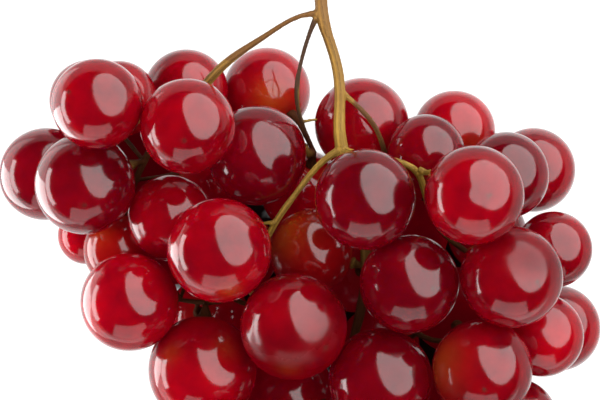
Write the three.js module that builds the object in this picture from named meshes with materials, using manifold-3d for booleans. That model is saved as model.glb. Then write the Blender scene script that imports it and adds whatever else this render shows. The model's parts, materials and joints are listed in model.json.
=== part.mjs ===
// A bunch of round red table grapes lying on its back on a flat surface.
//
// Millimetres, +Z up. The surface is z = 0 and the origin is on it, under the middle of the
// bunch. +Y runs from the tip of the bunch to the cut end of its stem, and +X is to the right
// seen from above. The stem with all its branches and pedicels grew as one piece, so it is one
// mesh, and every berry is a mesh of its own.

import * as THREE from 'three';
import { mergeVertices } from 'three/addons/utils/BufferGeometryUtils.js';
import Module from 'manifold-3d';

const wasm = await Module();
wasm.setup();

// ---- Driving dimensions, mm ----
const BERRY_GAP = 0.1; // clear gap between two round berries; their facets lie inside the round
const STEM_GAP = 0.35; // clear gap between a berry and any part of the stem
const PRESS_FLAT = 0.4; // how much of a resting berry is pressed flat against the surface
const REST_REACH = 1.5; // a berry whose skin starts this close to the surface rests on it
const BERRY_DETAIL = 2; // subdivisions of the icosahedron that a berry is made from
const STEM_SIDES = 8; // sides of the stem's and the branches' section
const STEM_STEP = 2.2; // distance between two sections of a branch
const PEDICEL_SIDES = 6; // sides of a pedicel's section
const PEDICEL_STEP = 3.2; // distance between two sections of a pedicel
const PEDICEL_SHARE = 0.054; // a pedicel's radius as a share of its berry's
const RECEPTACLE_SHARE = 0.13; // the same for the wider end of a pedicel, against its berry
const NECK = 2.6; // straight stretch of a pedicel in front of its berry
const SMALLEST = 0.03; // detail smaller than this is dropped from the joined wood

// ---- The stem and its branches: the points that each runs through, [x, y, z, radius] ----
const BRANCHES = {
  peduncle: [
    [4, 62, 42, 1.75], [4.5, 58, 42, 1.4], [4.5, 52, 42, 1.35], [4.5, 43.5, 42, 1.35],
    [4.5, 39.5, 42, 1.4], [6.2, 35.3, 41, 1.1], [7.7, 31, 40.5, 1.1], [8.6, 26.9, 40, 1.15],
    [8.8, 22.8, 39.5, 1.2], [8.6, 18.6, 39, 1.2], [8.5, 14.4, 38.5, 1.3], [9, 11, 38, 1.4],
    [10.5, 7, 36, 1.1], [13, 1, 33, 1.1], [14, -6.5, 30, 1.1], [15, -14, 29, 1.1],
    [14.5, -22.5, 28, 1.1], [12, -30, 28, 1.0], [10, -38, 28, 1.0], [8.5, -49, 27, 0.9],
    [8, -58, 26, 0.85], [8, -67, 25, 0.75], [8.5, -77, 22, 0.6],
  ],
  left_shoulder: [
    [4.5, 40.5, 42, 0.9], [2.5, 40.6, 42, 0.6], [0, 40.2, 42, 0.5], [-2.8, 39, 41.5, 0.47],
    [-7, 36, 41, 0.54], [-10.4, 33.8, 40, 0.66], [-15.4, 31.1, 39, 0.92], [-19.8, 27, 37.5, 1.0],
    [-24, 21, 33, 0.85], [-31, 15, 30, 0.8], [-35, 10, 27, 0.75], [-38.5, 0, 24, 0.6],
  ],
  thin_branch: [
    [4.2, 41, 42, 0.8], [2.9, 39.1, 42, 0.5], [1.6, 35.2, 41, 0.42], [0.3, 31.1, 40, 0.42],
    [-0.6, 27, 39, 0.45], [-1.3, 23.6, 38.5, 0.62], [-0.9, 20.2, 36, 0.42], [0, 17.2, 34, 0.42],
    [1.3, 14.6, 32, 0.38], [3.2, 10.5, 28, 0.38],
  ],
  right_shoulder: [
    [8.7, 24, 39.5, 0.8], [10, 22.4, 39.3, 0.58], [12.5, 21.1, 38.5, 0.54],
    [15.5, 17.9, 36.5, 0.54], [18.6, 13.7, 34, 0.54], [18.3, 10, 31, 0.55], [20, 6, 28, 0.6],
    [26, 4.5, 24, 0.6], [31.5, 4, 23, 0.55], [40.5, 1, 22, 0.5],
  ],
  right_branch: [
    [9, 11, 38, 1.0], [12, 9.6, 40, 0.75], [16.5, 9.5, 42.5, 0.65], [20.8, 8.8, 44, 0.65],
    [23.2, 7.7, 44.5, 0.65], [25.8, 6.7, 44.3, 0.75], [26.7, 4, 42, 0.65], [27.4, 0, 37, 0.65],
    [29, -5.5, 32, 0.6], [34.5, -11, 28, 0.6], [42.5, -14.5, 26, 0.5],
  ],
  left_branch: [
    [9, 11, 38, 1.0], [7.1, 10.3, 38, 0.75], [4.1, 8.2, 38, 0.66], [1.7, 4.8, 37, 0.66],
    [0, 2.5, 36.5, 0.66], [-3.3, -1.8, 35.5, 0.64], [-5.7, -5, 34.5, 0.7], [-8.5, -10, 31, 0.6],
    [-9.5, -16.5, 30, 0.6], [-12.5, -22, 27, 0.6], [-19, -24.5, 24, 0.6], [-27, -22.5, 22, 0.5],
  ],
  lower_right_branch: [
    [15, -15.5, 29, 0.8], [22.5, -27.5, 26, 0.65], [31.5, -32.5, 25, 0.6], [42.5, -29, 25, 0.5],
  ],
  tip_left_branch: [
    [9.5, -43.5, 28, 0.75], [0, -53.5, 26, 0.6], [-10, -51.5, 24, 0.5],
  ],
  tip_right_branch: [
    [8, -51.5, 27, 0.7], [20, -53.5, 25, 0.6], [31.5, -52.5, 25, 0.5],
  ],
};

// ---- Twigs and pedicels that carry no berry, in the same form ----
const BARE_TWIGS = {
  lost_berry: [
    [-1.3, 23.6, 38.5, 0.5], [-3.7, 22.2, 38.2, 0.42], [-5.6, 22.2, 37.8, 0.6],
    [-7, 22.5, 37.6, 1.1], [-7.9, 22.7, 37.4, 0.9],
  ],
  dry_twig: [[0, 17.2, 34, 0.35], [1.8, 17.8, 33.6, 0.28], [3.7, 17.8, 33, 0.3]],
  right_spur: [[25.8, 6.7, 44.3, 0.6], [26.7, 6.2, 44.5, 0.5], [27.7, 5.8, 44.5, 0.55]],
  left_spur: [[-5.7, -5, 34.5, 0.5], [-7.2, -5.1, 34, 0.32], [-8.6, -5.2, 33.5, 0.4]],
};

// ---- Berries by the part of the bunch they belong to: centre and diameter, [x, y, z, d] ----
const BERRIES = {
  left_shoulder: [
    [-43.5, 20.5, 45, 19.5], [-24.5, 16, 46, 20.5], [-39.5, 22.5, 27, 17], [-26, 24.5, 18, 19],
    [-57.5, 6, 14, 21], [-47, 3.5, 34, 22], [-29.5, -4, 29, 19], [-49, -8.5, 7, 13],
    [-40.5, -11, 17, 17], [-21.5, 5, 9.5, 19],
  ],
  middle: [
    [-8.5, 25, 10, 20], [-8.5, 10.5, 32, 22], [1, 2, 14, 19],
  ],
  right_shoulder: [
    [14, 16.5, 22, 21], [35, 15.5, 18, 18.5], [27.6, 10.4, 34, 17], [45.5, 5.5, 34, 19],
    [53, 6.5, 14, 19],
  ],
  right: [
    [14, 0, 50, 21.5], [37, 1, 56, 21], [45, -17, 46.5, 22], [57, -11, 24, 17],
    [24, -18, 44, 21.5],
  ],
  left: [
    [-17.5, -11, 46, 22.5], [-37.5, -22.5, 33, 21.5], [-1, -27.5, 42, 23], [2.5, -11.5, 30, 19],
    [-21.5, -38, 28, 24], [-21, -27, 9.5, 19],
  ],
  lower_right: [
    [12.5, -17, 12, 19.5], [18, -39.5, 37, 22.5], [38.5, -36.5, 39, 22], [53.5, -30.5, 27, 18.5],
    [59, -29.5, 9.5, 19.5], [48, -49.5, 23, 19],
  ],
  tip: [
    [-2.5, -46.5, 21, 20], [-13.5, -56.5, 39, 21], [8.5, -59, 41, 22], [30, -57, 40, 21.5],
    [-2, -75.5, 29, 21.5], [19.5, -76.5, 32, 21],
  ],
  underside: [
    [-48, 21.5, 9.5, 18.5], [17, 3.5, 10, 19], [44, -6.5, 9.5, 18], [34, -26, 10, 19.5],
    [-14, -12, 20, 18], [-39, -25, 8.5, 16.5], [-2.5, -31.5, 9.5, 18.5], [37, -48, 10, 19.5],
    [15.5, -51, 10, 19.5], [-23, -51.5, 10, 19.5], [-4.5, -66, 10, 19.5], [18, -69, 10, 19.5],
    [37.5, -67, 10, 19.5], [8.5, -87.5, 10, 19.5], [-39.5, 7.5, 9, 18], [25, -7, 20, 16],
    [17.5, -33.5, 9.5, 18.5], [-29, -12.5, 7.5, 15],
  ],
};
const HELD = 0.25; // how readily a berry gives way to its neighbours; those underneath give way most
const FREE = 1.0;
const SPREAD = 0.45; // crowded berries give way more in height than sideways

// ---- Colours of the skins and the wood; a berry that neither list names is crimson ----
const SKIN_COLOURS = { crimson: 0xa00a22, dark: 0x6a0518, amber: 0x8a3a1c };
const DARK_BERRIES = [
  'left_shoulder_berry_05', 'left_shoulder_berry_06', 'middle_berry_02', 'right_shoulder_berry_03',
  'right_shoulder_berry_04', 'right_berry_01', 'right_berry_05', 'lower_right_berry_02',
  'underside_berry_05', 'tip_berry_01',
];
const AMBER_BERRIES = ['left_shoulder_berry_09', 'left_berry_04'];
const STEM_COLOUR = 0x8f6a3a;

function skinOf(name) {
  if (DARK_BERRIES.includes(name)) {
    return 'dark';
  }
  return AMBER_BERRIES.includes(name) ? 'amber' : 'crimson';
}

function listBerries() {
  const berries = [];
  for (const [part, list] of Object.entries(BERRIES)) {
    list.forEach(([x, y, z, diameter], index) => {
      const radius = diameter / 2;
      const rests = z - radius < REST_REACH;
      berries.push({
        name: `${part}_berry_${String(index + 1).padStart(2, '0')}`,
        centre: new THREE.Vector3(x, y, rests ? radius - PRESS_FLAT : z),
        radius,
        rests,
        give: part === 'underside' ? FREE : HELD,
      });
    });
  }
  return berries;
}

// Points close together along a branch, each with the branch's radius there.
function sampleBranch(points, spacing) {
  const curve = new THREE.CatmullRomCurve3(
    points.map(([x, y, z]) => new THREE.Vector3(x, y, z)), false, 'centripetal',
  );
  const count = Math.max(3, Math.ceil(curve.getLength() / spacing));
  const samples = [];
  for (let i = 0; i <= count; i += 1) {
    const along = (i / count) * (points.length - 1);
    const from = Math.min(Math.floor(along), points.length - 2);
    const radius = THREE.MathUtils.lerp(points[from][3], points[from + 1][3], along - from);
    samples.push({ point: curve.getPoint(i / count), radius });
  }
  return samples;
}

// Moves crowded berries apart until every pair and every branch has its gap. A berry that rests
// on the surface stays at its height.
function settle(berries, branches) {
  const wood = branches.flat();
  const move = (berry, way) => {
    berry.centre.add(way);
    const lowest = berry.radius - PRESS_FLAT;
    berry.centre.z = berry.rests ? lowest : Math.max(berry.centre.z, lowest);
  };
  for (let pass = 0; pass < 600; pass += 1) {
    for (let i = 0; i < berries.length; i += 1) {
      for (let j = i + 1; j < berries.length; j += 1) {
        const [a, b] = [berries[i], berries[j]];
        const apart = b.centre.clone().sub(a.centre);
        const overlap = a.radius + b.radius + BERRY_GAP + 0.02 - apart.length();
        if (overlap > 0) {
          apart.multiply(new THREE.Vector3(SPREAD, SPREAD, 1)).setLength(overlap * 0.6);
          move(a, apart.clone().multiplyScalar(-a.give / (a.give + b.give)));
          move(b, apart.clone().multiplyScalar(b.give / (a.give + b.give)));
        }
      }
      const berry = berries[i];
      for (const { point, radius } of wood) {
        const apart = berry.centre.clone().sub(point);
        const overlap = berry.radius + radius + STEM_GAP + 0.1 - apart.length();
        if (overlap > 0) {
          move(berry, apart.setLength(overlap * berry.give));
        }
      }
    }
  }
}

function pushOut(point, room, berries) {
  for (const { centre, radius } of berries) {
    const away = point.clone().sub(centre);
    const overlap = radius + room - away.length();
    if (overlap > 0) {
      point.add(away.setLength(overlap));
    }
  }
}

// Bends a way through the berries until it passes between them: each point moves out of the
// berries, and towards the middle of its neighbours by `stiffness`.
function bendAround(points, radii, stiffness, berries, firstFree, lastFree) {
  for (let pass = 0; pass < 120; pass += 1) {
    for (let i = firstFree; i <= lastFree; i += 1) {
      const middle = points[i - 1].clone().add(points[i + 1]).multiplyScalar(0.5);
      points[i].lerp(middle, pass < 100 ? stiffness : 0);
      pushOut(points[i], radii[i] + STEM_GAP + 0.05, berries);
    }
  }
}

// The least room between a way and the berries, sampled between its points too.
function leastRoom(points, radii, berries) {
  let least = Infinity;
  for (let i = 0; i < points.length - 1; i += 1) {
    for (let step = 0; step <= 4; step += 1) {
      const point = points[i].clone().lerp(points[i + 1], step / 4);
      const radius = THREE.MathUtils.lerp(radii[i], radii[i + 1], step / 4);
      for (const berry of berries) {
        least = Math.min(least, point.distanceTo(berry.centre) - berry.radius - radius);
      }
    }
  }
  return least;
}

// Directions spread evenly over a sphere.
function directions(count) {
  const list = [];
  const golden = Math.PI * (3 - Math.sqrt(5));
  for (let i = 0; i < count; i += 1) {
    const z = 1 - (2 * i + 1) / count;
    const flat = Math.sqrt(1 - z * z);
    list.push(new THREE.Vector3(flat * Math.cos(golden * i), flat * Math.sin(golden * i), z));
  }
  return list;
}

// A berry's pedicel leaves the nearest branch and meets the berry straight on. Of all the sides
// it could come from, it takes the one with the shortest clear way, from below where it can.
function routePedicel(berry, berries, branches) {
  const wood = branches.flat();
  const thin = PEDICEL_SHARE * berry.radius;
  const wide = RECEPTACLE_SHARE * berry.radius;
  let best = null;
  for (const side of directions(90)) {
    const end = berry.centre.clone().addScaledVector(side, berry.radius + STEM_GAP);
    const neck = end.clone().addScaledVector(side, NECK);
    const others = berries.filter((other) => other !== berry);
    const room = leastRoom([end, neck], [wide, thin], others);
    if (room > STEM_GAP - 0.1) {
      let start = wood[0].point;
      for (const { point } of wood) {
        if (point.distanceTo(neck) < start.distanceTo(neck)) {
          start = point;
        }
      }
      const steps = Math.max(2, Math.round(start.distanceTo(neck) / PEDICEL_STEP));
      const points = [];
      for (let i = 0; i <= steps; i += 1) {
        points.push(start.clone().lerp(neck, i / steps));
      }
      points.push(end);
      const radii = points.map(() => thin);
      radii[radii.length - 1] = wide;
      bendAround(points, radii, 0.3, berries, 1, steps - 1);
      const clear = leastRoom(points.slice(0, -1), radii.slice(0, -1), berries);
      let length = 0;
      for (let i = 1; i < points.length; i += 1) {
        length += points[i].distanceTo(points[i - 1]);
      }
      const cost = length + 60 * Math.max(0, STEM_GAP - clear) + 3 * Math.max(0, side.z);
      if (!best || cost < best.cost) {
        best = { cost, points, radii, clear };
      }
    }
  }
  return best;
}

// A closed round tube along the points, as wide at each as its radius.
function tube(points, radii, sides, spacing) {
  const thread = 0.1;
  const section = new THREE.Shape();
  for (let i = 0; i < sides; i += 1) {
    const angle = (2 * Math.PI * i) / sides;
    section[i === 0 ? 'moveTo' : 'lineTo'](thread * Math.cos(angle), thread * Math.sin(angle));
  }
  const curve = new THREE.CatmullRomCurve3(points, false, 'centripetal');
  const steps = Math.max(2, Math.round(curve.getLength() / spacing));
  const geometry = new THREE.ExtrudeGeometry(section, {
    steps, extrudePath: curve, bevelEnabled: false, curveSegments: 1,
  });
  const centres = curve.getSpacedPoints(steps);
  const widths = centres.map((centre) => {
    let nearest = 0;
    points.forEach((point, i) => {
      if (point.distanceTo(centre) < points[nearest].distanceTo(centre)) {
        nearest = i;
      }
    });
    return radii[nearest];
  });
  widths[0] = radii[0];
  widths[widths.length - 1] = radii[radii.length - 1];
  const position = geometry.getAttribute('position');
  const vertex = new THREE.Vector3();
  for (let i = 0; i < position.count; i += 1) {
    vertex.fromBufferAttribute(position, i);
    let ring = 0;
    centres.forEach((centre, index) => {
      if (centre.distanceTo(vertex) < centres[ring].distanceTo(vertex)) {
        ring = index;
      }
    });
    vertex.sub(centres[ring]).multiplyScalar(widths[ring] / thread).add(centres[ring]);
    position.setXYZ(i, vertex.x, vertex.y, vertex.z);
  }
  return geometry;
}

function toSolid(geometry) {
  const bare = geometry.clone();
  bare.deleteAttribute('normal');
  bare.deleteAttribute('uv');
  const merged = mergeVertices(bare, 1e-4);
  return new wasm.Manifold(new wasm.Mesh({
    numProp: 3,
    vertProperties: new Float32Array(merged.getAttribute('position').array),
    triVerts: new Uint32Array(merged.getIndex().array),
  }));
}

function toGeometry(solid) {
  const mesh = solid.getMesh();
  const geometry = new THREE.BufferGeometry();
  geometry.setAttribute('position', new THREE.BufferAttribute(mesh.vertProperties, 3));
  geometry.setIndex(new THREE.BufferAttribute(mesh.triVerts, 1));
  geometry.computeVertexNormals();
  return geometry;
}

// The wood in one piece: specks left by the joins are dropped, and a pocket enclosed between
// crossing pedicels is filled.
function cleanWood(solid) {
  const skins = solid.simplify(SMALLEST).decompose();
  return skins.reduce((a, b) => (a.volume() > b.volume() ? a : b));
}

// A round berry; one that rests on the surface is cut flat there.
function berryGeometry({ centre, radius, rests }) {
  const round = new THREE.IcosahedronGeometry(radius, BERRY_DETAIL);
  if (!rests) {
    return round;
  }
  const surface = new THREE.BoxGeometry(4 * radius, 4 * radius, 2 * radius);
  surface.translate(0, 0, -centre.z - radius);
  return toGeometry(toSolid(round).subtract(toSolid(surface)));
}

const branches = Object.values(BRANCHES).map((points) => sampleBranch(points, 1.5));
const berries = listBerries();
settle(berries, branches);

const twigs = Object.values(BARE_TWIGS).map((points) => sampleBranch(points, 1.5));

let wood = null;
for (const samples of [...branches, ...twigs]) {
  const points = samples.map(({ point }) => point);
  const radii = samples.map(({ radius }) => radius);
  bendAround(points, radii, 0.1, berries, 1, points.length - 2);
  const solid = toSolid(tube(points, radii, STEM_SIDES, STEM_STEP));
  wood = wood ? wood.add(solid) : solid;
}
for (const berry of berries) {
  const { points, radii } = routePedicel(berry, berries, branches);
  wood = wood.add(toSolid(tube(points, radii, PEDICEL_SIDES, PEDICEL_STEP)));
}

const bunch = new THREE.Group();
const rachis = new THREE.Mesh(
  toGeometry(cleanWood(wood)),
  new THREE.MeshStandardMaterial({ color: STEM_COLOUR, roughness: 0.8, metalness: 0 }),
);
rachis.name = 'rachis';
bunch.add(rachis);
for (const berry of berries) {
  const mesh = new THREE.Mesh(
    berryGeometry(berry),
    new THREE.MeshStandardMaterial({
      color: SKIN_COLOURS[skinOf(berry.name)], roughness: 0.3, metalness: 0,
    }),
  );
  mesh.name = berry.name;
  mesh.position.copy(berry.centre);
  bunch.add(mesh);
}

// The origin goes under the middle of the bunch.
const box = new THREE.Box3().setFromObject(bunch);
bunch.position.set(-(box.min.x + box.max.x) / 2, -(box.min.y + box.max.y) / 2, 0);

export default bunch;
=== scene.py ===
"""A bunch of round red table grapes lying on its back, seen from straight above.

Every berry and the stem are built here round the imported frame. Metres, in the frame's axes: the
surface is z = 0, +Y runs up the stem to its cut end and +Z points at the camera.
"""

import json
import math

import bmesh
import bpy
import numpy as np
from mathutils import Matrix, Vector


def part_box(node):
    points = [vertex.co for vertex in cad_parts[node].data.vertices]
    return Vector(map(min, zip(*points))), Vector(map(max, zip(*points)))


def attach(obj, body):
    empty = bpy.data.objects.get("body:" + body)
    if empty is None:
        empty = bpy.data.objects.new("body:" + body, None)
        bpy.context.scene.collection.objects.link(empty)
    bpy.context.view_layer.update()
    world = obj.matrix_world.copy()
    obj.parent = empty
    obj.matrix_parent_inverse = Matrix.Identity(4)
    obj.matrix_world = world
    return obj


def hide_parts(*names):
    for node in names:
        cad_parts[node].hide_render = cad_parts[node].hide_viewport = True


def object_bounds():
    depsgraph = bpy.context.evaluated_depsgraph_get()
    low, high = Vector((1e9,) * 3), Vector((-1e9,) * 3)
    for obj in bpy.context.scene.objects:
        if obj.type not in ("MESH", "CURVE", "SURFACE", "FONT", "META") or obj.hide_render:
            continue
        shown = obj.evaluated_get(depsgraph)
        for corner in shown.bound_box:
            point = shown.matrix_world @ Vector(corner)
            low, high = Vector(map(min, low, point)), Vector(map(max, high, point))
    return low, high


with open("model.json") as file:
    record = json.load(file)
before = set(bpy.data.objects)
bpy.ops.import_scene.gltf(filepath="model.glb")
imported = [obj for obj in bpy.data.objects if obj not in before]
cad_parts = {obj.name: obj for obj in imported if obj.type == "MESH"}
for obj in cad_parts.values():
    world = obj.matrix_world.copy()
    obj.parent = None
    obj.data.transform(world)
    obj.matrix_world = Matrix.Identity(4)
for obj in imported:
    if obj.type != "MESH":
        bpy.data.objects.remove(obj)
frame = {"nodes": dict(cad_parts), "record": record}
CAD_LOW, CAD_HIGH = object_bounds()

MM = 0.001
STEM = "rachis"

# ---- Camera ----
CAMERA_HEIGHT = 595 * MM
AIM_BELOW_STEM_END = 62.2 * MM
AIM_SIDE = -0.24 * MM
LENS = 152.7
SENSOR = 36.0

# ---- Berries ----
FACET_SHARE = 0.983  # a faceted CAD berry is this share of the round berry across
SWELL = 1.012  # berries swell this much, and then press flat against each other
PRESS_GAP = 0.03 * MM
LUMPS = 0.010  # how far a berry is from round, as a share of its radius
SUBDIVISIONS = 5
DIMPLE = 0.35 * MM  # depth of the hollow that the pedicel sits in
DIMPLE_WIDTH = 0.34  # the hollow's width and the scar's are shares of the berry's radius
SCAR_PIT = 0.16 * MM  # depth of the stylar scar
SCAR_WIDTH = 0.055
SCAR_RIM = 0.05 * MM  # height of the low rim round it
SCAR_RIM_WIDTH = 0.13

# Where berries show amber, or are darker on one side: direction from the berry's centre, how wide
# it spreads (1 is half the berry) and how strong it is. The amber is partly the berries' own
# colouring and partly painted glow: on middle_berry_01 it is a painted glow of light shining
# through the flesh.
AMBER_AND_GLOW_PATCHES = {
    "left_berry_04": [((-0.60, 0.50, 0.60), 0.85, 1.0)],
    "lower_right_berry_03": [((-0.9, 0.1, 0.35), 0.8, 0.75)],
    "middle_berry_01": [((0.15, -0.30, 0.94), 0.60, 1.0)],
    "right_shoulder_berry_02": [((0.3, -0.6, 0.7), 0.7, 0.5)],
    "left_shoulder_berry_09": [((-0.5, 0.4, 0.75), 0.45, 0.35)],
    "left_berry_01": [((0.2, -0.7, 0.6), 0.3, 0.5)],
    "left_berry_03": [((-0.1, -0.7, 0.6), 0.35, 0.4)],
    "left_berry_05": [((0.45, 0.5, 0.7), 0.35, 0.35), ((-0.55, 0.35, 0.7), 0.3, 0.3)],
}

# How dark each berry is painted against the rest of its slot: 0 is as pale as the slot gets and 1
# nearly black. This is partly each berry's own deeper or paler tone and partly painted shade: the
# berries the bunch hides are painted nearly black as painted shade, and a few berries in the
# bunch's shade are painted paler to make up for it.
TONE_AND_SHADE = {
    "left_shoulder_berry_01": 0.32,
    "left_shoulder_berry_02": 0.42,
    "left_shoulder_berry_03": 0.25,
    "left_shoulder_berry_04": 0.30,
    "left_shoulder_berry_05": 0.00,
    "left_shoulder_berry_06": 0.10,
    "left_shoulder_berry_07": 0.45,
    "left_shoulder_berry_08": 0.00,
    "left_shoulder_berry_09": 0.05,
    "left_shoulder_berry_10": 0.00,
    "middle_berry_01": 0.00,
    "middle_berry_02": 0.22,
    "middle_berry_03": 0.00,
    "right_shoulder_berry_01": 0.12,
    "right_shoulder_berry_02": 0.00,
    "right_shoulder_berry_03": 0.30,
    "right_shoulder_berry_04": 0.08,
    "right_shoulder_berry_05": 0.30,
    "right_berry_01": 0.40,
    "right_berry_02": 0.46,
    "right_berry_03": 0.52,
    "right_berry_04": 0.30,
    "right_berry_05": 0.40,
    "left_berry_01": 0.40,
    "left_berry_02": 0.00,
    "left_berry_03": 0.66,
    "left_berry_04": 0.52,
    "left_berry_05": 0.25,
    "left_berry_06": 0.00,
    "lower_right_berry_01": 0.65,
    "lower_right_berry_02": 0.44,
    "lower_right_berry_03": 0.52,
    "lower_right_berry_04": 0.00,
    "lower_right_berry_05": 0.28,
    "tip_berry_01": 0.00,
    "underside_berry_02": 0.80,
    "underside_berry_04": 0.78,
    "underside_berry_05": 0.74,
    "underside_berry_07": 0.80,
    "underside_berry_15": 0.78,
    "underside_berry_16": 0.80,
    "underside_berry_17": 0.80,
    "underside_berry_18": 0.76,
}

# The stylar scars that face the camera; other berries have theirs opposite their pedicels.
SCAR_SIDES = {
    "right_berry_02": (0.22, -0.02, 0.97),
    "right_shoulder_berry_04": (0.58, -0.33, 0.75),
    "left_shoulder_berry_06": (0.05, -0.42, 0.9),
    "left_berry_02": (-0.93, -0.18, 0.3),
}


def unit(vector):
    vector = np.asarray(vector, float)
    return vector / np.linalg.norm(vector)


def ripples(points, seed, scale, waves=14):
    """A smooth random field over the points, about -1 to 1."""
    rng = np.random.default_rng(seed)
    total = np.zeros(len(points))
    for _ in range(waves):
        way = unit(rng.normal(size=3)) * scale * rng.uniform(0.6, 1.4)
        total += np.sin(points @ way + rng.uniform(0, 2 * math.pi))
    return total / math.sqrt(waves / 2)


def points_of(mesh):
    flat = np.empty(len(mesh.vertices) * 3)
    mesh.vertices.foreach_get("co", flat)
    return flat.reshape(-1, 3)


def set_points(mesh, points):
    mesh.vertices.foreach_set("co", np.ascontiguousarray(points, float).ravel())
    mesh.update()


def paint(mesh, name, values):
    layer = mesh.attributes.new(name, "FLOAT", "POINT")
    layer.data.foreach_set("value", np.ascontiguousarray(values, float))


# ---- Materials ----


class Nodes:
    """A small helper that builds one material's node tree."""

    def __init__(self, name):
        self.material = bpy.data.materials.new(name)
        self.material.use_nodes = True
        self.tree = self.material.node_tree
        self.shader = self.tree.nodes["Principled BSDF"]

    def add(self, kind, **settings):
        node = self.tree.nodes.new(kind)
        for key, value in settings.items():
            setattr(node, key, value)
        return node

    def link(self, out, into):
        self.tree.links.new(out, into)

    def coordinate(self, kind):
        return self.add("ShaderNodeTexCoord").outputs[kind]

    def attribute(self, name):
        return self.add("ShaderNodeAttribute", attribute_name=name).outputs["Fac"]

    def noise(self, where, scale, detail=3.0, rough=0.5, distortion=0.0):
        node = self.add("ShaderNodeTexNoise")
        node.inputs["Scale"].default_value = scale
        node.inputs["Detail"].default_value = detail
        node.inputs["Roughness"].default_value = rough
        node.inputs["Distortion"].default_value = distortion
        self.link(where, node.inputs["Vector"])
        return node.outputs["Fac"]

    def ramp(self, value, *stops):
        node = self.add("ShaderNodeValToRGB")
        elements = node.color_ramp.elements
        while len(elements) < len(stops):
            elements.new(0.5)
        for element, (place, colour) in zip(elements, stops):
            element.position = place
            element.color = (*colour, 1.0)
        self.link(value, node.inputs["Fac"])
        return node.outputs["Color"]

    def remap(self, value, low, high, to_low, to_high):
        node = self.add("ShaderNodeMapRange")
        for index, number in enumerate((low, high, to_low, to_high), start=1):
            node.inputs[index].default_value = number
        self.link(value, node.inputs[0])
        return node.outputs[0]

    def add_up(self, first, second):
        node = self.add("ShaderNodeMath", operation="ADD")
        self.link(first, node.inputs[0])
        self.link(second, node.inputs[1])
        return node.outputs[0]

    def mix(self, amount, first, second):
        node = self.add("ShaderNodeMix", data_type="RGBA")
        for source, socket in ((amount, 0), (first, 6), (second, 7)):
            if isinstance(source, tuple):
                node.inputs[socket].default_value = (*source, 1.0)
            else:
                self.link(source, node.inputs[socket])
        return node.outputs[2]

    def bump(self, height, strength, distance):
        node = self.add("ShaderNodeBump")
        node.inputs["Strength"].default_value = strength
        node.inputs["Distance"].default_value = distance
        self.link(height, node.inputs["Height"])
        self.link(node.outputs["Normal"], self.shader.inputs["Normal"])

    def set(self, **values):
        for key, value in values.items():
            self.shader.inputs[key.replace("_", " ")].default_value = value


# The deep red that the dark attribute mixes in: a berry's own deeper tone, and painted shade on the
# berries deep in the bunch.
DARK_RED_AND_SHADE = (0.010, 0.0001, 0.0005)
# The amber that the amber patches mix in: the berries' own colouring, and a painted glow of light
# through the flesh.
AMBER_AND_GLOW = (0.250, 0.036, 0.0018)
SCAR_BROWN = (0.030, 0.012, 0.008)


def skin_material(name, low, high):
    """Grape skin: `low` and `high` are the two reds that it is mottled with.

    The weak red glow stands in for the light that passes from berry to berry through the flesh.
    """
    n = Nodes(name)
    place = n.coordinate("Object")
    mottle = n.noise(place, 90.0, 4.0, 0.6)
    colour = n.ramp(mottle, (0.32, low), (0.68, high))
    # Amber patches: partly the berries' own colouring, partly a painted glow of light through the
    # flesh.
    colour = n.mix(n.attribute("amber"), colour, AMBER_AND_GLOW)
    # Darkening: partly each berry's own tone, partly painted shade on the berries deep in the bunch.
    colour = n.mix(n.attribute("dark"), colour, DARK_RED_AND_SHADE)
    colour = n.mix(n.attribute("scar"), colour, SCAR_BROWN)
    n.link(colour, n.shader.inputs["Base Color"])
    dull = n.remap(n.attribute("dark"), 0.55, 0.90, 0.0, 0.45)
    bloom = n.remap(n.noise(place, 260.0, 3.0, 0.6), 0.3, 0.7, 0.075, 0.15)
    n.link(n.add_up(bloom, dull), n.shader.inputs["Roughness"])
    n.link(n.remap(n.attribute("dark"), 0.55, 0.75, 0.5, 0.0), n.shader.inputs["Specular IOR Level"])
    n.bump(n.noise(place, 240.0, 5.0, 0.55), 0.10, 0.0004)
    n.set(
        IOR=1.45,
        Subsurface_Weight=0.90,
        Subsurface_Radius=(1.0, 0.10, 0.08),
        Subsurface_Scale=0.009,
        Emission_Color=(1.0, 0.002, 0.03, 1.0),
        Emission_Strength=0.034,
    )
    return n.material


def stem_material():
    n = Nodes("stem_bark")
    place = n.coordinate("Object")
    lengthwise = n.coordinate("Normal")
    streaks = n.noise(lengthwise, 4.2, 4.0, 0.65, 0.3)
    patches = n.noise(place, 160.0, 3.0)
    green = n.ramp(streaks, (0.36, (0.080, 0.042, 0.003)), (0.64, (0.310, 0.180, 0.024)))
    brown = n.ramp(streaks, (0.36, (0.044, 0.015, 0.003)), (0.64, (0.145, 0.058, 0.013)))
    colour = n.mix(n.remap(patches, 0.40, 0.60, 0.0, 0.30), green, brown)
    colour = n.mix(n.attribute("brown"), colour, brown)
    dark = n.ramp(streaks, (0.34, (0.012, 0.0042, 0.0014)), (0.66, (0.052, 0.022, 0.008)))
    colour = n.mix(n.attribute("dark"), colour, dark)
    # Wood low in the bunch is painted near-black: painted shade.
    colour = n.mix(n.attribute("deep"), colour, (0.030, 0.006, 0.003))
    knob = n.ramp(patches, (0.35, (0.024, 0.016, 0.004)), (0.70, (0.090, 0.060, 0.016)))
    colour = n.mix(n.attribute("knob"), colour, knob)
    n.link(colour, n.shader.inputs["Base Color"])
    n.link(n.remap(patches, 0.3, 0.7, 0.45, 0.68), n.shader.inputs["Roughness"])
    n.link(n.remap(n.attribute("deep"), 0.0, 1.0, 0.22, 0.02), n.shader.inputs["Specular IOR Level"])
    n.bump(n.noise(lengthwise, 7.0, 3.0), 0.45, 0.0004)
    return n.material


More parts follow.
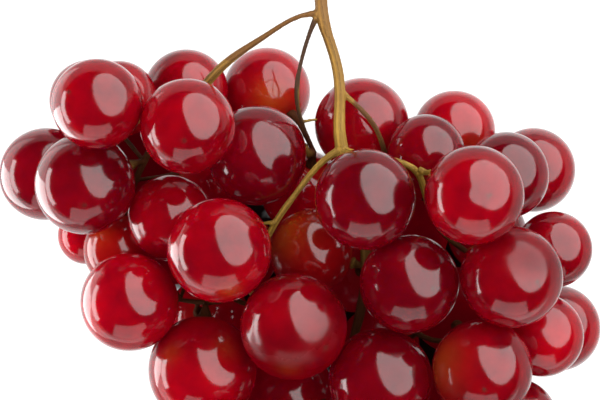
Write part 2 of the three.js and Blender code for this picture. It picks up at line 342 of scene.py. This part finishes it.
SKINS = {
    "crimson_skin": skin_material("skin_crimson", (0.100, 0.0001, 0.0026), (0.240, 0.0003, 0.0040)),
    "dark_skin": skin_material("skin_dark", (0.048, 0.0001, 0.0020), (0.118, 0.0002, 0.0030)),
    "amber_skin": skin_material("skin_amber", (0.106, 0.0012, 0.0012), (0.200, 0.0024, 0.0018)),
}
SLOT_OF = {part["node"]: part["material_slot"] for part in frame["record"]["subparts"]}


# ---- Where the berries are ----


class Berry:
    def __init__(self, name):
        low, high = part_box(name)
        half = (high.x - low.x) / 2
        self.name = name
        self.radius = half / FACET_SHARE
        self.centre = np.array([(low.x + high.x) / 2, (low.y + high.y) / 2, high.z - half])


berries = [Berry(name) for name in sorted(frame["nodes"]) if name != STEM]
stem_points = np.unique(points_of(frame["nodes"][STEM].data).round(6), axis=0)

for berry in berries:
    away = stem_points - berry.centre
    distance = np.linalg.norm(away, axis=1)
    touching = away[distance < distance.min() + 0.12 * MM]
    berry.pedicel = unit(touching.mean(axis=0))


# ---- The berries ----


def sphere_template():
    mesh = bpy.data.meshes.new("template")
    shape = bmesh.new()
    bmesh.ops.create_icosphere(shape, subdivisions=SUBDIVISIONS, radius=1.0)
    shape.to_mesh(mesh)
    shape.free()
    mesh.shade_smooth()
    return mesh


def spread(directions, towards, width):
    """1 where a direction points the same way as `towards`, falling to 0 `width` away."""
    apart = np.linalg.norm(directions - unit(towards), axis=1)
    return np.exp(-((apart / width) ** 2) * 2.0)


def build_berry(berry, template, index):
    sides = points_of(template)
    rng = np.random.default_rng(1000 + index)
    scar_side = unit(SCAR_SIDES.get(berry.name, -berry.pedicel))

    size = berry.radius * SWELL * np.ones(len(sides))
    size *= 1.0 + LUMPS * (ripples(sides, index, 1.9) * 0.6 + ripples(sides, index + 500, 4.5) * 0.16)
    size -= DIMPLE * spread(sides, berry.pedicel, DIMPLE_WIDTH)
    scar = spread(sides, scar_side, SCAR_WIDTH)
    size -= SCAR_PIT * scar - SCAR_RIM * spread(sides, scar_side, SCAR_RIM_WIDTH)
    points = sides * size[:, None]

    for other in berries:
        between = other.centre - berry.centre
        apart = np.linalg.norm(between)
        reach = (berry.radius + other.radius) * SWELL * (1 + 2 * LUMPS)
        if other is not berry and apart < reach:
            way = between / apart
            wall = (apart**2 + berry.radius**2 - other.radius**2) / (2 * apart) - PRESS_GAP
            over = np.maximum(points @ way - wall, 0.0)
            points -= over[:, None] * way
    points += berry.centre
    points = np.clip(points, np.array(CAD_LOW), np.array(CAD_HIGH))

    mesh = template.copy()
    mesh.name = berry.name + "_skin"
    set_points(mesh, points)
    paint(mesh, "scar", np.clip(scar * 1.6, 0, 0.9))
    # Amber patches: partly the berry's own colouring, partly a painted glow of light through the
    # flesh.
    amber = np.zeros(len(sides))
    for towards, width, strength in AMBER_AND_GLOW_PATCHES.get(berry.name, []):
        amber = np.maximum(amber, strength * spread(sides, towards, width))
    amber = np.maximum(amber, 0.35 * spread(sides, berry.pedicel, 0.5))
    amber *= 0.85 + 0.15 * ripples(sides, index + 900, 6.0)
    paint(mesh, "amber", np.clip(amber, 0, 1))
    # How dark the berry is painted: its own tone, with painted shade on the berries deep in the
    # bunch.
    depth = TONE_AND_SHADE.get(berry.name, rng.uniform(0.34, 0.50))
    shade = depth + 0.10 * ripples(sides, index + 700, 1.6)
    paint(mesh, "dark", np.clip(shade, 0, 1))

    piece = bpy.data.objects.new(berry.name + "_skin", mesh)
    bpy.context.scene.collection.objects.link(piece)
    slot = SLOT_OF[berry.name]
    mesh.materials.append(SKINS[slot])
    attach(piece, "root")
    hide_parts(berry.name)


template = sphere_template()
for index, berry in enumerate(berries):
    build_berry(berry, template, index)
bpy.data.meshes.remove(template)


# ---- The stem ----

VOXEL = 0.25 * MM
COLLAR_WIDE = 0.150  # half the width of a pedicel's end, as a share of its berry's radius
COLLAR_THICK = 0.55 * MM
BARK_SWELL = 0.10 * MM  # what smoothing took off the wood
BARK_RIDGE = 0.06 * MM
HIDDEN_BELOW = 34 * MM  # wood lower than this lies in the shade of the berries and is painted dark there as painted shade
STEM_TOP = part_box(STEM)[1]


def along(points, route):
    """Distance of each point from a route of straight stretches given in millimetres."""
    best = np.full(len(points), 1.0)
    for start, end in zip(route, route[1:]):
        start, end = np.array(start) * MM, np.array(end) * MM
        step = end - start
        share = np.clip((points - start) @ step / (step @ step), 0, 1)
        best = np.minimum(best, np.linalg.norm(points - start - share[:, None] * step, axis=1))
    return best


# The branches that are browner or darker than the rest, millimetres in the frame's axes. The
# left lateral is brown down to LATERAL_TURN and half brown from there on.
DRY_BRANCH = [
    (2.4, 56.2, 42), (1.4, 52.9, 41), (0.1, 48.8, 40), (-0.8, 44.7, 39), (-1.5, 41.3, 38.5),
    (-1.1, 37.9, 36), (-0.2, 34.9, 34), (1.1, 32.3, 32), (3.0, 28.2, 28),
]
LEFT_LATERAL = [
    (2.3, 58.4, 42), (-0.2, 57.9, 42), (-7.2, 53.7, 41), (-15.6, 48.8, 39), (-20.0, 44.7, 37.5),
]
LATERAL_TURN = 3
RIGHT_TWIG = [
    (12.3, 38.8, 38.5), (15.3, 35.6, 36.5), (18.4, 31.4, 34), (18.1, 27.7, 31),
]


def build_stem():
    shape = bmesh.new()
    shape.from_mesh(frame["nodes"][STEM].data)
    bmesh.ops.remove_doubles(shape, verts=shape.verts, dist=0.001 * MM)
    for berry in berries:
        collar = bmesh.ops.create_icosphere(shape, subdivisions=3, radius=1.0)["verts"]
        wide = COLLAR_WIDE * berry.radius
        turn = Vector(berry.pedicel).to_track_quat("Z", "Y").to_matrix()
        middle = Vector(berry.centre + berry.pedicel * (berry.radius + 0.10 * MM))
        for vertex in collar:
            flat = Vector((vertex.co.x * wide, vertex.co.y * wide, vertex.co.z * COLLAR_THICK))
            vertex.co = middle + turn @ flat
    mesh = bpy.data.meshes.new("stem_wood")
    shape.to_mesh(mesh)
    shape.free()
    piece = bpy.data.objects.new("stem_wood", mesh)
    bpy.context.scene.collection.objects.link(piece)
    remesh = piece.modifiers.new("round", "REMESH")
    remesh.mode = "VOXEL"
    remesh.voxel_size = VOXEL
    remesh.use_smooth_shade = True
    smooth = piece.modifiers.new("soften", "SMOOTH")
    smooth.factor = 0.5
    smooth.iterations = 6
    ready = piece.evaluated_get(bpy.context.evaluated_depsgraph_get())
    rounded = bpy.data.meshes.new_from_object(ready)
    piece.modifiers.clear()
    piece.data = rounded
    rounded.name = "stem_wood"

    points = points_of(rounded)
    normals = np.empty(len(rounded.vertices) * 3)
    rounded.vertices.foreach_get("normal", normals)
    normals = normals.reshape(-1, 3)
    ridges = ripples(normals, 7, 5.0) * 0.5 + ripples(points, 8, 900.0) * 0.5
    points = points + normals * (BARK_SWELL + BARK_RIDGE * ridges)[:, None]
    points = np.clip(points, np.array(CAD_LOW), np.array(CAD_HIGH))
    set_points(rounded, points)

    nearest = np.full(len(points), 1.0)
    for berry in berries:
        end = berry.centre + berry.pedicel * (berry.radius + 0.2 * MM)
        nearest = np.minimum(nearest, np.linalg.norm(points - end, axis=1))
    in_sight = points[:, 2] > HIDDEN_BELOW
    paint(rounded, "knob", np.clip(1.35 - nearest / (1.6 * MM), 0, 1) * in_sight)
    from_top = (STEM_TOP.y - points[:, 1]) / MM
    brown = np.clip(1.25 - from_top / 40.0, 0, 1)
    upper = along(points, LEFT_LATERAL[:LATERAL_TURN + 1]) < 1.0 * MM
    lower = along(points, LEFT_LATERAL[LATERAL_TURN:]) < 1.4 * MM
    brown = np.maximum(brown, np.maximum(0.9 * upper, 0.5 * lower))
    dark = np.clip(1.6 - along(points, DRY_BRANCH) / (0.9 * MM), 0, 1)
    twig = np.clip(1.6 - along(points, RIGHT_TWIG) / (1.0 * MM), 0, 1)
    paint(rounded, "brown", np.maximum(brown, twig))
    paint(rounded, "dark", np.maximum(dark, 0.30 * twig))
    # How far the wood below HIDDEN_BELOW is painted dark as painted shade.
    paint(rounded, "deep", np.clip((HIDDEN_BELOW - points[:, 2]) / (5 * MM), 0, 0.95))
    rounded.materials.append(stem_material())
    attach(piece, "root")
    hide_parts(STEM)


build_stem()


# ---- Floor, light and camera ----


LIT_HALF = np.array([0.0725, 0.0485])  # half the size of the brightly lit floor round the bunch
GLOW_FADE = 22 * MM  # the glow falls off to its least over this distance
GLOW_LEAST = 0.22
CROWD = 25 * MM  # berries this close stand round a point of the floor
OPEN_FROM = 85  # the floor is bare where its widest view out is 85 to 100 degrees or more
OPEN_FADE = 15
FLOOR_DROP = 0.2 * MM
LEFT_PANELS = -0.205  # where the lamps on the floor to the left of the bunch stand
WORLD_GLOW = 0.015


def bare_floor(points):
    """1 on the open floor, 0 where berries stand on every side of a point."""
    sides = np.full((len(points), len(berries)), np.inf)
    for column, berry in enumerate(berries):
        way = berry.centre[:2] - points
        near = np.linalg.norm(way, axis=1) < CROWD
        sides[near, column] = np.arctan2(way[near, 1], way[near, 0])
    sides.sort(axis=1)
    count = np.isfinite(sides).sum(axis=1)
    last = sides[np.arange(len(points)), np.maximum(count - 1, 0)]
    last = np.where(count > 0, last, 0)
    steps = np.diff(np.where(np.isfinite(sides), sides, last[:, None]), axis=1)
    widest = np.maximum(steps.max(axis=1), sides[:, 0] + 2 * math.pi - last)
    widest = np.where(count > 1, widest, 2 * math.pi)
    return np.clip((np.degrees(widest) - OPEN_FROM) / OPEN_FADE, 0, 1)


def build_floor():
    """A white floor, finely divided under the bunch, that glows as if lit through from below. The
    glow is a painted pool of light, brightest round the bunch; under the bunch the floor is painted
    near-black as painted shade.
    """
    steps = 401
    line = 0.05 * np.sinh(np.linspace(-5.3, 5.3, steps))
    bpy.ops.mesh.primitive_grid_add(x_subdivisions=steps - 1, y_subdivisions=steps - 1)
    floor = bpy.context.object
    floor.name = "floor"
    mesh = floor.data
    points = points_of(mesh)
    cells = np.rint((points[:, :2] + 1) / 2 * (steps - 1)).astype(int)
    points[:, :2] = line[cells]
    points[:, 2] = -FLOOR_DROP
    set_points(mesh, points)
    near = np.abs(points[:, :2]).max(axis=1) < 0.12
    bare = np.ones(len(points))
    bare[near] = bare_floor(points[near, :2])
    paint(mesh, "bare", bare)
    middle = np.array([0, STEM_TOP.y - AIM_BELOW_STEM_END])
    past = np.linalg.norm(np.maximum(np.abs(points[:, :2] - middle) - LIT_HALF, 0), axis=1)
    # Painted pool of light: the floor glows most round the bunch, less further out, and not at all
    # under it.
    paint(mesh, "glow", bare * np.clip(1.0 - past / GLOW_FADE, GLOW_LEAST, 1.0))
    n = Nodes("floor_white")
    grain = n.noise(n.coordinate("Object"), 40.0, 2.0)
    white = n.ramp(grain, (0.3, (0.125, 0.125, 0.125)), (0.7, (0.135, 0.135, 0.135)))
    # Under the bunch the floor is painted near-black: painted shade.
    n.link(n.mix(n.attribute("bare"), (0.006, 0.001, 0.001), white), n.shader.inputs["Base Color"])
    n.link(n.attribute("glow"), n.shader.inputs["Emission Strength"])
    n.set(Roughness=0.9, Specular_IOR_Level=0.1, Emission_Color=(0.96, 0.96, 0.96, 1.0))
    mesh.materials.append(n.material)


def softbox(name, place, aim, width, height, radiance, shape="RECTANGLE", mirrored=True):
    """A lamp as even as a white panel: `height` is its side along Y, or up where it faces Y."""
    light = bpy.data.lights.new(name, "AREA")
    light.shape = shape
    light.size = width
    light.size_y = height
    area = width * height * (math.pi / 4 if shape == "ELLIPSE" else 1)
    light.energy = radiance * math.pi * area
    away = (Vector(place) - Vector(aim)).normalized()
    across = Vector((0, 1, 0)).cross(away).normalized()
    turn = Matrix((across, away.cross(across), away)).transposed()
    lamp = bpy.data.objects.new(name, light)
    lamp.matrix_world = Matrix.Translation(place) @ turn.to_4x4()
    lamp.visible_camera = False
    lamp.visible_glossy = mirrored
    bpy.context.scene.collection.objects.link(lamp)


def floor_panel(name, x, y, width, height, radiance):
    """A lamp that lies on the floor and faces up."""
    softbox(name, (x, y, 0.0), (x, y, 1.0), width, height, radiance)


def build_studio():
    softbox("key", (0.377, 0.290, 0.463), (0, 0.01, 0.03), 1.18, 1.88, 4.9, "ELLIPSE")
    softbox("fill", (-0.45, -0.16, 0.58), (0, 0.0, 0.03), 1.2, 1.2, 3.8, mirrored=False)
    softbox("left_strip", (-0.45, -0.02, 0.045), (0, -0.02, 0.04), 0.10, 0.45, 9.0)
    softbox("low_card", (0.0, -0.50, 0.17), (0, 0.0, 0.04), 0.60, 0.34, 2.0)
    floor_panel("left_floor_high", LEFT_PANELS, 0.078, 0.24, 0.09, 1.7)
    floor_panel("left_floor_middle", LEFT_PANELS, -0.008, 0.24, 0.080, 8.0)
    floor_panel("left_floor_low", LEFT_PANELS, -0.100, 0.24, 0.10, 1.5)
    floor_panel("low_floor", 0.03, -0.27, 0.50, 0.30, 1.2)
    world = bpy.data.worlds.new("studio")
    bpy.context.scene.world = world
    world.use_nodes = True
    world.node_tree.nodes["Background"].inputs["Color"].default_value = (1, 1, 1, 1)
    world.node_tree.nodes["Background"].inputs["Strength"].default_value = WORLD_GLOW


def build_camera():
    data = bpy.data.cameras.new("camera")
    data.lens = LENS
    data.sensor_width = SENSOR
    data.clip_start = 0.01
    data.clip_end = 50.0
    camera = bpy.data.objects.new("camera", data)
    camera.location = (AIM_SIDE, STEM_TOP.y - AIM_BELOW_STEM_END, CAMERA_HEIGHT)
    bpy.context.scene.collection.objects.link(camera)
    bpy.context.scene.camera = camera


build_floor()
build_studio()
build_camera()
bpy.context.scene.view_settings.view_transform = "Standard"
